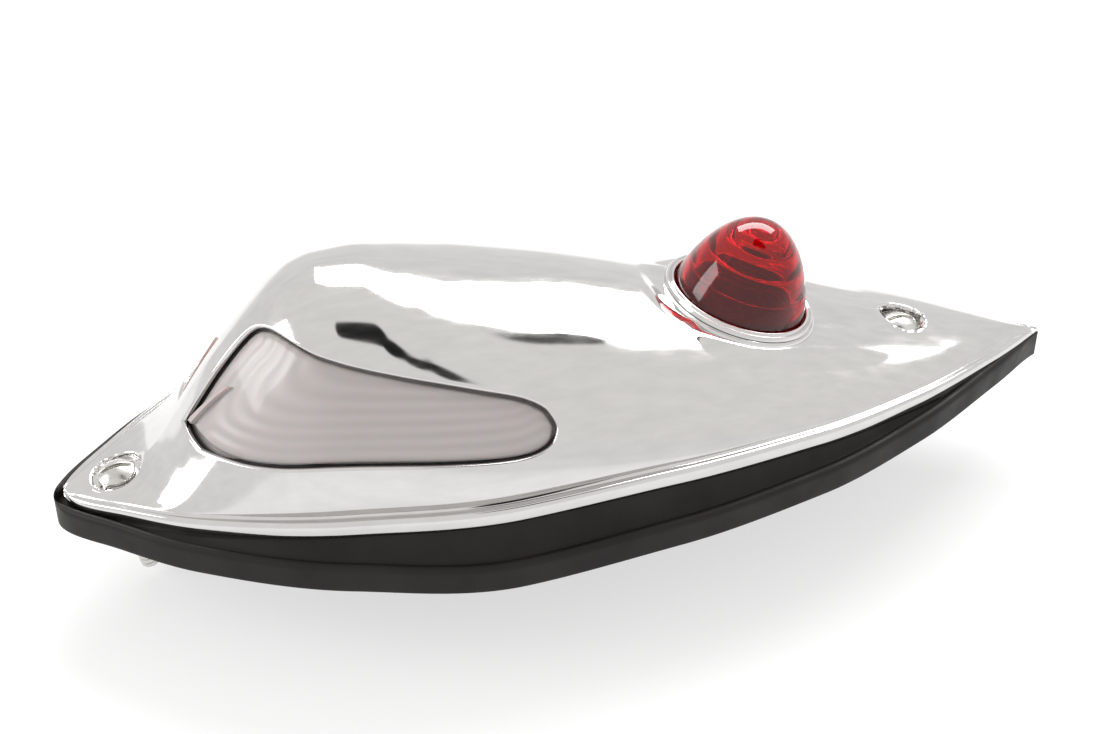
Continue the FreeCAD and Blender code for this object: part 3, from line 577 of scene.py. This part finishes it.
def build_pad():
    """Rubber pad: sections carried along the lamp from the flat top, down a hollow slope, over a
    rounded lip (quarter of a superellipse) and outer wall, and back along the saddle underside."""
    x = (-PAD_SHIFT + PAD_LENGTH / 2 * np.sin(np.linspace(-1, 1, 260) * math.pi / 2))[:, None]
    wide, crown = pad_half(x), seat_z(x, pad_half(x)) + PAD_LIP
    small = np.minimum(LIP_ROUND, wide / 4)
    ledge = np.maximum(np.minimum(half_width(x) - 1.0, wide - 2.2 * small), wide * 0.3)
    top = np.maximum(rim_z(x) - SKIRT, seat_z(x, 0) + 1.5)
    u = np.linspace(0, 1, 14)[None, 1:]
    out, sag = wide - 2 * small, -0.24 * np.abs(crown - top)
    slope = ledge + (out - ledge) * u, top + (crown - 0.6 - top) * u + 4 * sag * u * (1 - u)
    a = np.linspace(-0.35, math.pi / 2, 12)[None, 1:]
    arc = (wide - small + small * np.sin(a) * np.where(a < 0, 2.2, 1.0),
           crown - small + small * np.cos(a) ** 0.9)
    drop = np.linspace(0, 1, 7)[None, 1:-1]
    foot = seat_z(x, wide)
    wall = wide + 0 * drop, crown - small + (foot + 0.7 - crown + small) * drop
    b = np.linspace(0, math.pi / 2, 5)[None]
    heel = wide - 0.7 * small * (1 - np.cos(b)), foot + 0.7 * (1 - np.sin(b))
    flat = np.linspace(1, 0, 34)[None, 1:]
    reach = wide - 0.7 * small
    under = reach * flat, seat_z(x, reach * flat)
    crest = np.linspace(0, 1, 22)[None]
    roof = ledge * crest, top + 0 * crest
    rows = [roof, slope, arc, wall, heel, under]
    y = -np.concatenate([row[0] + 0 * x for row in rows], 1)
    z = np.concatenate([row[1] + 0 * x for row in rows], 1)
    grid = np.stack([x + 0 * y, y, z], -1)
    sheet = mirrored(*solid(*merged(grid.reshape(-1, 3), grid_faces(*y.shape))))
    shafts = []
    for tilt, floor, ceiling, roof_at in ((FRONT, -7.8, -4.8, -3.5), (REAR, -10.1, -7.2, -2.9)):
        sheet = punch(*sheet, tilt, SHAFT_RADIUS)
        shafts.append(lathe([(3.0, ceiling), (SHAFT_RADIUS, ceiling), (SHAFT_RADIUS, floor), (6.5, floor),
                             (6.5, roof_at), (3.0, roof_at), (3.0, ceiling)], tilt))
    cable = tilt_frame((CABLE_X, 0.0, 0.0), 0.0)
    sheet = punch(*sheet, cable, CABLE_RADIUS)
    near, far = CABLE_RADIUS, CABLE_RADIUS + 0.6
    shafts.append(lathe([(near, 0.0), (far, 0.0), (far, 4.9), (near, 4.9), (near, 0.0)], cable))
    return join(sheet, *shafts)


def build_screw(tilt):
    """Domed slotted head as a sheet over its disc, z = dome or slot floor, and a threaded shank whose
    radius is a sawtooth of height less turn."""
    centre, forward, up = tilt
    ball = (HEAD_RADIUS ** 2 + HEAD_RISE ** 2) / (2 * HEAD_RISE)
    y = np.concatenate([-HEAD_RADIUS * np.cos(np.linspace(0, 1.38, 16)), [-0.7, -0.6, -0.58]])
    y = np.concatenate([y, [-0.3, 0, 0.3], -y[::-1]])[:, None]
    x = np.sqrt(np.maximum(HEAD_RADIUS ** 2 - y * y, 0)) * np.sin(np.linspace(-1, 1, 33) * math.pi / 2)
    z = HEAD_RIM + HEAD_RISE - ball + np.sqrt(ball ** 2 - x * x - y * y)
    eased = np.where(np.abs(np.abs(y) - 0.6) < 0.01, 0.08, 0)
    z = np.where(np.abs(y) < SLOT_HALF, np.minimum(z, SLOT_FLOOR), z) - eased
    grid = centre + x[..., None] * forward + z[..., None] * up
    grid[..., 1] += (y + 0 * x)
    cap = facing(grid, grid_faces(*x.shape), centre)
    drum = [(0, -0.02), (4.15, -0.02), (HEAD_RADIUS, 0.2), (HEAD_RADIUS, HEAD_RIM), (4.2, 0.86),
            (0, 0.86)]
    side = lathe(rounded(drum, 0.1), tilt, 64)
    turn = np.linspace(0, 2 * math.pi, 33)[None]
    level = np.linspace(0, -SCREW_LENGTH, 400)[:, None]
    tooth = np.abs((level / THREAD_PITCH - turn / (2 * math.pi)) % 1.0 - 0.5)
    point = 0.35 * blend(1.0 - SCREW_LENGTH, -SCREW_LENGTH, level)
    radius = (SHANK_RADIUS - 0.55 * tooth * blend(-4.0, -6.0, level)) * (1 - point)
    radius[0] = radius[-1] = 0.0
    shank = (centre + (radius * np.cos(turn))[..., None] * forward + (level + 0 * turn)[..., None] * up)
    shank[..., 1] += radius * np.sin(turn)
    return join(cap, side, solid(*merged(shank.reshape(-1, 3), grid_faces(*radius.shape))))


# ------------------------------------------------------------------ finishes
class Finish:
    """One material: a Principled shader with a small graph of procedural nodes on Object coordinates."""

    def __init__(self, name, **constants):
        self.material = bpy.data.materials.new(name)
        self.material.use_nodes = True
        self.tree = self.material.node_tree
        self.shader = self.tree.nodes["Principled BSDF"]
        for socket, value in constants.items():
            self.shader.inputs[socket.replace("_", " ")].default_value = value
        self.place = self.tree.nodes.new("ShaderNodeTexCoord").outputs["Object"]

    def node(self, kind, inputs=(), **settings):
        """A node with its settings made and its inputs linked or set."""
        item = self.tree.nodes.new(kind)
        for key, value in settings.items():
            setattr(item, key, value)
        for key, value in dict(inputs).items():
            if isinstance(value, bpy.types.NodeSocket):
                self.tree.links.new(value, item.inputs[key])
            else:
                item.inputs[key].default_value = value
        return item

    def noise(self, scale, detail=3.0, stretch=(1.0, 1.0, 1.0)):
        """Noise of a given frequency per metre, stretched along the axes."""
        where = self.node("ShaderNodeMapping", {"Vector": self.place, "Scale": stretch}).outputs["Vector"]
        keys = {"Vector": where, "Scale": scale, "Detail": detail}
        return self.node("ShaderNodeTexNoise", keys).outputs["Fac"]

    def remap(self, value, low, high, start=0.3, end=0.7):
        """The value carried from start..end to low..high, clamped."""
        keys = {"Value": value, "From Min": start, "From Max": end, "To Min": low, "To Max": high}
        return self.node("ShaderNodeMapRange", keys).outputs["Result"]

    def mix(self, factor, one, two):
        """Colour between two colours or sockets."""
        item = self.node("ShaderNodeMix", data_type="RGBA")
        for socket, value in ((item.inputs[0], factor), (item.inputs[6], one), (item.inputs[7], two)):
            if isinstance(value, bpy.types.NodeSocket):
                self.tree.links.new(value, socket)
            else:
                socket.default_value = value if isinstance(value, float) else (*value, 1.0)
        return item.outputs[2]

    def math(self, operation, one, two=0.0):
        """Arithmetic on one or two values."""
        return self.node("ShaderNodeMath", {0: one, 1: two}, operation=operation).outputs["Value"]

    def set(self, socket, source):
        """Link a source to one of the shader's sockets."""
        self.tree.links.new(source, self.shader.inputs[socket])

    def bump(self, height, strength, distance):
        """Relief from a height, as the shader's normal."""
        keys = {"Height": height, "Strength": strength, "Distance": distance}
        self.set("Normal", self.node("ShaderNodeBump", keys).outputs["Normal"])


def mottled(name, dark, light, rough, grain, relief, stretch=(1.0, 1.0, 1.0), **constants):
    """Finish of two close tones, roughness that wanders and a fine relief."""
    finish = Finish(name, **constants)
    tone = finish.noise(grain, 4.0, stretch)
    finish.set("Base Color", finish.mix(finish.remap(tone, 0.0, 1.0), dark, light))
    finish.set("Roughness", finish.remap(finish.noise(grain * 2.3, 3.0, stretch), *rough))
    finish.bump(finish.noise(grain * 5.0, 2.0, stretch), relief, 0.0002)
    return finish.material


def chrome(colour):
    """Plated die casting: long waves of the polish, faint wipe marks and a little haze."""
    finish = Finish("chrome_plate", Metallic=1.0)
    wipe = finish.noise(420.0, 5.0, (0.25, 1.0, 1.0))
    shade = tuple(0.93 * part for part in colour)
    finish.set("Base Color", finish.mix(finish.remap(wipe, 0.0, 1.0), shade, colour))
    finish.set("Roughness", finish.remap(wipe, 0.045, 0.1))
    finish.bump(finish.noise(26.0, 1.0, (0.7, 1.0, 1.0)), 0.25, 0.0004)
    return finish.material


def ribbed_white(colour):
    """Milky glass with fine ribs that follow the sill and turn up at the nose, each rib's hollow darkened
    in the colour as painted shade.
    """
    finish = Finish("ribbed_white_lens", Roughness=0.3, IOR=1.5, Coat_Weight=0.35, Coat_Roughness=0.06,
                    Subsurface_Weight=0.25, Subsurface_Scale=0.004)
    rib = finish.node("ShaderNodeAttribute", attribute_name="rib").outputs["Fac"]
    wave = finish.math("SINE", finish.math("MULTIPLY", rib, 2 * math.pi / 2.6))
    cloud = finish.remap(finish.noise(38.0, 3.0), 0.0, 1.0)
    shade = tuple(0.86 * part for part in colour)
    body = finish.mix(cloud, tuple(0.9 * part for part in colour), colour)
    # painted shade: the colour falls to the darker shade tone in each rib's hollow, where the bump wave
    # is lowest
    finish.set("Base Color", finish.mix(finish.remap(wave, 0.0, 0.8, -1.0, 1.0), shade, body))
    finish.bump(wave, 0.25, 0.0002)
    return finish.material


def deep_red(colour):
    """Clear red moulding whose colour deepens in faint clouds."""
    finish = Finish("red_marker_lens", Transmission_Weight=0.94, IOR=1.49, Roughness=0.015)
    cloud = finish.remap(finish.noise(60.0, 3.0), 0.0, 1.0)
    finish.set("Base Color", finish.mix(cloud, tuple(0.75 * part for part in colour), colour))
    finish.bump(finish.noise(150.0, 2.0), 0.04, 0.0002)
    return finish.material


# Finish of each carried-over piece: dark and light tone, roughness range, grain, relief, metallic.
PLAIN_FINISHES = {
    "brass": ((0.55, 0.38, 0.13), (0.72, 0.52, 0.2), (0.2, 0.38), 260.0, 0.15, 1.0),
    "plated_steel": ((0.48, 0.48, 0.46), (0.62, 0.61, 0.58), (0.22, 0.42), 220.0, 0.15, 1.0),
    "screw_steel": ((0.5, 0.49, 0.47), (0.68, 0.67, 0.64), (0.16, 0.32), 320.0, 0.12, 1.0),
    "rivet_aluminium": ((0.6, 0.6, 0.6), (0.75, 0.75, 0.74), (0.25, 0.4), 300.0, 0.1, 1.0),
    "bright_aluminium": ((0.78, 0.78, 0.78), (0.88, 0.88, 0.87), (0.08, 0.2), 120.0, 0.05, 1.0),
    "solder": ((0.4, 0.4, 0.4), (0.58, 0.58, 0.57), (0.3, 0.5), 500.0, 0.3, 1.0),
    "tungsten": ((0.16, 0.16, 0.17), (0.28, 0.28, 0.29), (0.3, 0.45), 900.0, 0.2, 1.0),
    "fibre": ((0.16, 0.08, 0.045), (0.27, 0.14, 0.075), (0.55, 0.75), 420.0, 0.5, 0.0),
    "black_rubber": ((0.012, 0.012, 0.012), (0.03, 0.029, 0.028), (0.5, 0.7), 300.0, 0.4, 0.0),
}


def plain_finish(slot):
    """The finish of a carried-over slot."""
    dark, light, rough, grain, relief, metallic = PLAIN_FINISHES[slot]
    return mottled(slot, dark, light, rough, grain, relief, Metallic=metallic)


def rubber(colour):
    """Moulded rubber: near-black brown, dusty in patches, with a fine matte grain."""
    finish = Finish("pad_rubber", Specular_IOR_Level=0.25)
    dust = finish.remap(finish.noise(45.0, 5.0), 0.0, 1.0, 0.35, 0.75)
    light = tuple(1.9 * part for part in colour)
    finish.set("Base Color", finish.mix(dust, colour, light))
    finish.set("Roughness", finish.remap(finish.noise(120.0, 4.0), 0.42, 0.6))
    finish.bump(finish.noise(1500.0, 3.0), 0.35, 0.0001)
    return finish.material


def clear_glass():
    """Bulb glass, faintly greyed in random clouds."""
    finish = Finish("clear_bulb_glass", Transmission_Weight=1.0, IOR=1.5, Roughness=0.01)
    tone = finish.remap(finish.noise(70.0), 0.0, 1.0)
    finish.set("Base Color", finish.mix(tone, (0.93, 0.94, 0.94), (0.99, 0.99, 0.99)))
    return finish.material


# ------------------------------------------------------------------ what a user may change
class LampColours(bpy.types.PropertyGroup):
    """Colours of the pieces that show."""
    chrome: bpy.props.FloatVectorProperty(
        name="Chrome", description="Tint of the plating", subtype="COLOR", size=3,
        default=(0.66, 0.65, 0.64))
    white_lens: bpy.props.FloatVectorProperty(
        name="White lens", description="Tint of the milky lens", subtype="COLOR", size=3,
        default=(0.46, 0.42, 0.41))
    red_lens: bpy.props.FloatVectorProperty(
        name="Red lens", description="Colour of the marker", subtype="COLOR", size=3,
        default=(0.62, 0.0, 0.006))
    pad: bpy.props.FloatVectorProperty(
        name="Pad", description="Tint of the rubber", subtype="COLOR", size=3,
        default=(0.0075, 0.0062, 0.0058))


class LampStage(bpy.types.PropertyGroup):
    """Studio sizes and strengths."""
    focal: bpy.props.FloatProperty(
        name="Focal length", description="Camera focal length in millimetres", default=65.73, min=10.0)
    distance: bpy.props.FloatProperty(
        name="Distance", description="Camera distance from the lamp", default=0.4696, unit="LENGTH")
    azimuth: bpy.props.FloatProperty(
        name="Azimuth", description="Camera turn about the vertical", default=math.radians(-15.02),
        subtype="ANGLE")
    elevation: bpy.props.FloatProperty(
        name="Elevation", description="Camera height angle", default=math.radians(37.0), subtype="ANGLE")
    floor_drop: bpy.props.FloatProperty(
        name="Floor drop", description="Floor below the pad's crown", default=0.032, unit="LENGTH")
    sky: bpy.props.FloatProperty(
        name="Surround", description="Brightness of the white surround", default=0.98, min=0.0)


# ------------------------------------------------------------------ operators
class LAMP_OT_body(bpy.types.Operator):
    """Chrome body in place of the plain casting"""
    bl_idname = "lamp.body"
    bl_label = "Chrome body"

    def execute(self, context):
        plate = chrome(context.scene.lamp_colours.chrome)
        piece("chrome_body", build_housing(), "lamp", ["housing"], plate)
        piece("marker_ring", build_bezel(), "lamp", ["marker_bezel"], plate)
        return {"FINISHED"}


class LAMP_OT_lenses(bpy.types.Operator):
    """White wraparound lens and red marker lens"""
    bl_idname = "lamp.lenses"
    bl_label = "Lenses"

    def execute(self, context):
        colours = context.scene.lamp_colours
        lens = piece("white_lens_panes", build_lens(), "lamp", ["main_lens"],
                     ribbed_white(tuple(colours.white_lens)))
        points = np.empty(len(lens.data.vertices) * 3)
        lens.data.vertices.foreach_get("co", points)
        rib = lens.data.attributes.new("rib", "FLOAT", "POINT")
        rib.data.foreach_set("value", rib_distance(points.reshape(-1, 3) * 1000.0))
        piece("red_marker", build_marker_lens(), "lamp", ["marker_lens"],
              deep_red(tuple(colours.red_lens)))
        return {"FINISHED"}


class LAMP_OT_pad(bpy.types.Operator):
    """Rubber pad between the lamp and its fender"""
    bl_idname = "lamp.pad"
    bl_label = "Rubber pad"

    def execute(self, context):
        piece("rubber_pad", build_pad(), "lamp", ["mounting_pad"],
              rubber(tuple(context.scene.lamp_colours.pad)))
        return {"FINISHED"}


class LAMP_OT_screws(bpy.types.Operator):
    """Two domed slotted fixing screws"""
    bl_idname = "lamp.screws"
    bl_label = "Fixing screws"

    def execute(self, context):
        steel = plain_finish("screw_steel")
        for name, tilt in (("front", FRONT), ("rear", REAR)):
            piece(name + "_slotted_screw", build_screw(tilt), name + "_fixing",
                  [name + "_screw"], steel)
        return {"FINISHED"}


class LAMP_OT_inside(bpy.types.Operator):
    """Finishes of the pieces that keep their plain form"""
    bl_idname = "lamp.inside"
    bl_label = "Inner pieces"

    def execute(self, context):
        slots = {part["node"]: part["material_slot"] for part in frame["record"]["subparts"]}
        made = {}
        for name, item in frame["nodes"].items():
            if item.hide_render:
                continue
            slot = slots[name]
            if slot not in made:
                made[slot] = clear_glass() if slot == "bulb_glass" else plain_finish(slot)
            item.data.materials.clear()
            item.data.materials.append(made[slot])
        return {"FINISHED"}


class LAMP_OT_studio(bpy.types.Operator):
    """Pale floor, white surround with soft lights, and the camera"""
    bl_idname = "lamp.studio"
    bl_label = "Studio"

    def execute(self, context):
        stage = context.scene.lamp_stage
        build_floor(stage.floor_drop)
        build_surround(context.scene, stage.sky)
        for name, place, aim, size, power in LIGHTS:
            add_light(name, place, aim, size, power)
        add_camera(context.scene, stage)
        context.scene.view_settings.view_transform = "Standard"
        return {"FINISHED"}


# ------------------------------------------------------------------ studio
TARGET = Vector((-0.0065, 0.0, 0.00925))
# Soft lights: name, place, aim, size in metres, watts.
LIGHTS = [
    ("crest_softbox", (0.32, 0.6, 0.72), (0.0, 0.0, 0.03), (1.1, 0.42), 14.0),
    ("nose_softbox", (-1.1, 0.2, 0.5), (-0.03, 0.0, 0.02), (0.5, 0.6), 5.0),
]


# Darker parts of the surround: direction, half angles of the core and of the edge, brightness.
DARK_PATCHES = [
    ((0.07, -0.12, 0.99), 7.0, 9.0, 0.02),
    ((0.19, -0.24, 0.95), 5.0, 7.0, 0.02),
    ((0.30, -0.33, 0.90), 3.0, 4.5, 0.03),
    ((0.56, 0.24, 0.79), 2.0, 3.5, 0.1),
    ((0.4, -0.2, -0.9), 40.0, 80.0, 0.4),
]


def build_floor(drop):
    """Pale floor: a disc that curves up far away, z rising with the square of the distance past 1.2 m."""
    rings, spokes = 40, 97
    turn = np.linspace(0, 2 * math.pi, spokes)[None]
    reach = (3.0 * np.linspace(0, 1, rings) ** 1.6)[:, None]
    rise = 0.5 * np.maximum(reach - 1.2, 0.0) ** 2 - drop
    grid = np.stack([reach * np.cos(turn), reach * np.sin(turn), rise + 0 * turn], -1)
    vertices, quads = merged(grid.reshape(-1, 3), grid_faces(rings, spokes))
    vertices, quads = facing(vertices, quads, (0.0, 0.0, -50.0))
    data = bpy.data.meshes.new("floor")
    data.from_pydata(vertices.tolist(), [], [list(dict.fromkeys(face)) for face in quads.tolist()])
    data.shade_smooth()
    glow = {"Emission_Color": (1.0, 1.0, 1.0, 1.0), "Emission_Strength": 0.62}
    data.materials.append(mottled("pale_floor", (0.3, 0.3, 0.3), (0.33, 0.33, 0.33), (0.85, 0.95),
                                  3.0, 0.0, **glow))
    floor = bpy.data.objects.new("floor", data)
    bpy.context.scene.collection.objects.link(floor)


def build_surround(scene, sky):
    """White surround with darker patches: each is a smooth step of the angle to its direction."""
    world = bpy.data.worlds.new("surround")
    world.use_nodes = True
    tree = world.node_tree
    look = tree.nodes.new("ShaderNodeTexCoord").outputs["Generated"]
    colour = (sky, sky * 0.99, sky * 0.975, 1.0)
    for toward, inner, outer, shade in DARK_PATCHES:
        dot = tree.nodes.new("ShaderNodeVectorMath")
        dot.operation = "DOT_PRODUCT"
        tree.links.new(look, dot.inputs[0])
        dot.inputs[1].default_value = Vector(toward).normalized()
        mask = tree.nodes.new("ShaderNodeMapRange")
        mask.interpolation_type = "SMOOTHSTEP"
        tree.links.new(dot.outputs["Value"], mask.inputs["Value"])
        mask.inputs["From Min"].default_value = math.cos(math.radians(outer))
        mask.inputs["From Max"].default_value = math.cos(math.radians(inner))
        layer = tree.nodes.new("ShaderNodeMix")
        layer.data_type = "RGBA"
        tree.links.new(mask.outputs["Result"], layer.inputs[0])
        if isinstance(colour, tuple):
            layer.inputs[6].default_value = colour
        else:
            tree.links.new(colour, layer.inputs[6])
        layer.inputs[7].default_value = (shade, shade, shade, 1.0)
        colour = layer.outputs[2]
    tree.links.new(colour, tree.nodes["Background"].inputs["Color"])
    scene.world = world


def add_light(name, place, aim, size, power):
    """Rectangular soft light that faces its aim."""
    lamp = bpy.data.lights.new(name, "AREA")
    lamp.shape = "RECTANGLE"
    lamp.size, lamp.size_y = size
    lamp.energy = power
    item = bpy.data.objects.new(name, lamp)
    item.location = place
    item.rotation_euler = (Vector(aim) - Vector(place)).to_track_quat("-Z", "Y").to_euler()
    bpy.context.scene.collection.objects.link(item)


def add_camera(scene, stage):
    """Camera on a sphere round the target, looking at it."""
    back = Vector((math.sin(stage.azimuth) * math.cos(stage.elevation),
                   -math.cos(stage.azimuth) * math.cos(stage.elevation), math.sin(stage.elevation)))
    data = bpy.data.cameras.new("camera")
    data.lens = stage.focal
    data.sensor_width = 36.0
    data.clip_start = 0.01
    camera = bpy.data.objects.new("camera", data)
    camera.location = TARGET + back * stage.distance
    camera.rotation_euler = (-back).to_track_quat("-Z", "Y").to_euler()
    scene.collection.objects.link(camera)
    scene.camera = camera


# ------------------------------------------------------------------ panel and run
OPERATORS = [LAMP_OT_body, LAMP_OT_lenses, LAMP_OT_pad, LAMP_OT_screws, LAMP_OT_inside, LAMP_OT_studio]


class LAMP_PT_sidebar(bpy.types.Panel):
    """Colours, studio sizes and the operators in their order"""
    bl_idname = "LAMP_PT_sidebar"
    bl_label = "Fender lamp"
    bl_space_type = "VIEW_3D"
    bl_region_type = "UI"
    bl_category = "Lamp"

    def draw(self, context):
        for group in (context.scene.lamp_colours, context.scene.lamp_stage):
            for name in group.bl_rna.properties.keys():
                if name not in ("rna_type", "name"):
                    self.layout.prop(group, name)
        for operator in OPERATORS:
            self.layout.operator(operator.bl_idname)


def register():
    """Make the classes known and hang the two groups on the scene."""
    for item in [LampColours, LampStage] + OPERATORS + [LAMP_PT_sidebar]:
        bpy.utils.register_class(item)
    bpy.types.Scene.lamp_colours = bpy.props.PointerProperty(type=LampColours)
    bpy.types.Scene.lamp_stage = bpy.props.PointerProperty(type=LampStage)


def unregister():
    """Undo register."""
    del bpy.types.Scene.lamp_stage
    del bpy.types.Scene.lamp_colours
    for item in [LAMP_PT_sidebar] + OPERATORS[::-1] + [LampStage, LampColours]:
        bpy.utils.unregister_class(item)


def main():
    """Build everything in order."""
    register()
    bpy.ops.lamp.body()
    bpy.ops.lamp.lenses()
    bpy.ops.lamp.pad()
    bpy.ops.lamp.screws()
    bpy.ops.lamp.inside()
    bpy.ops.lamp.studio()


if __name__ == "__main__":
    main()
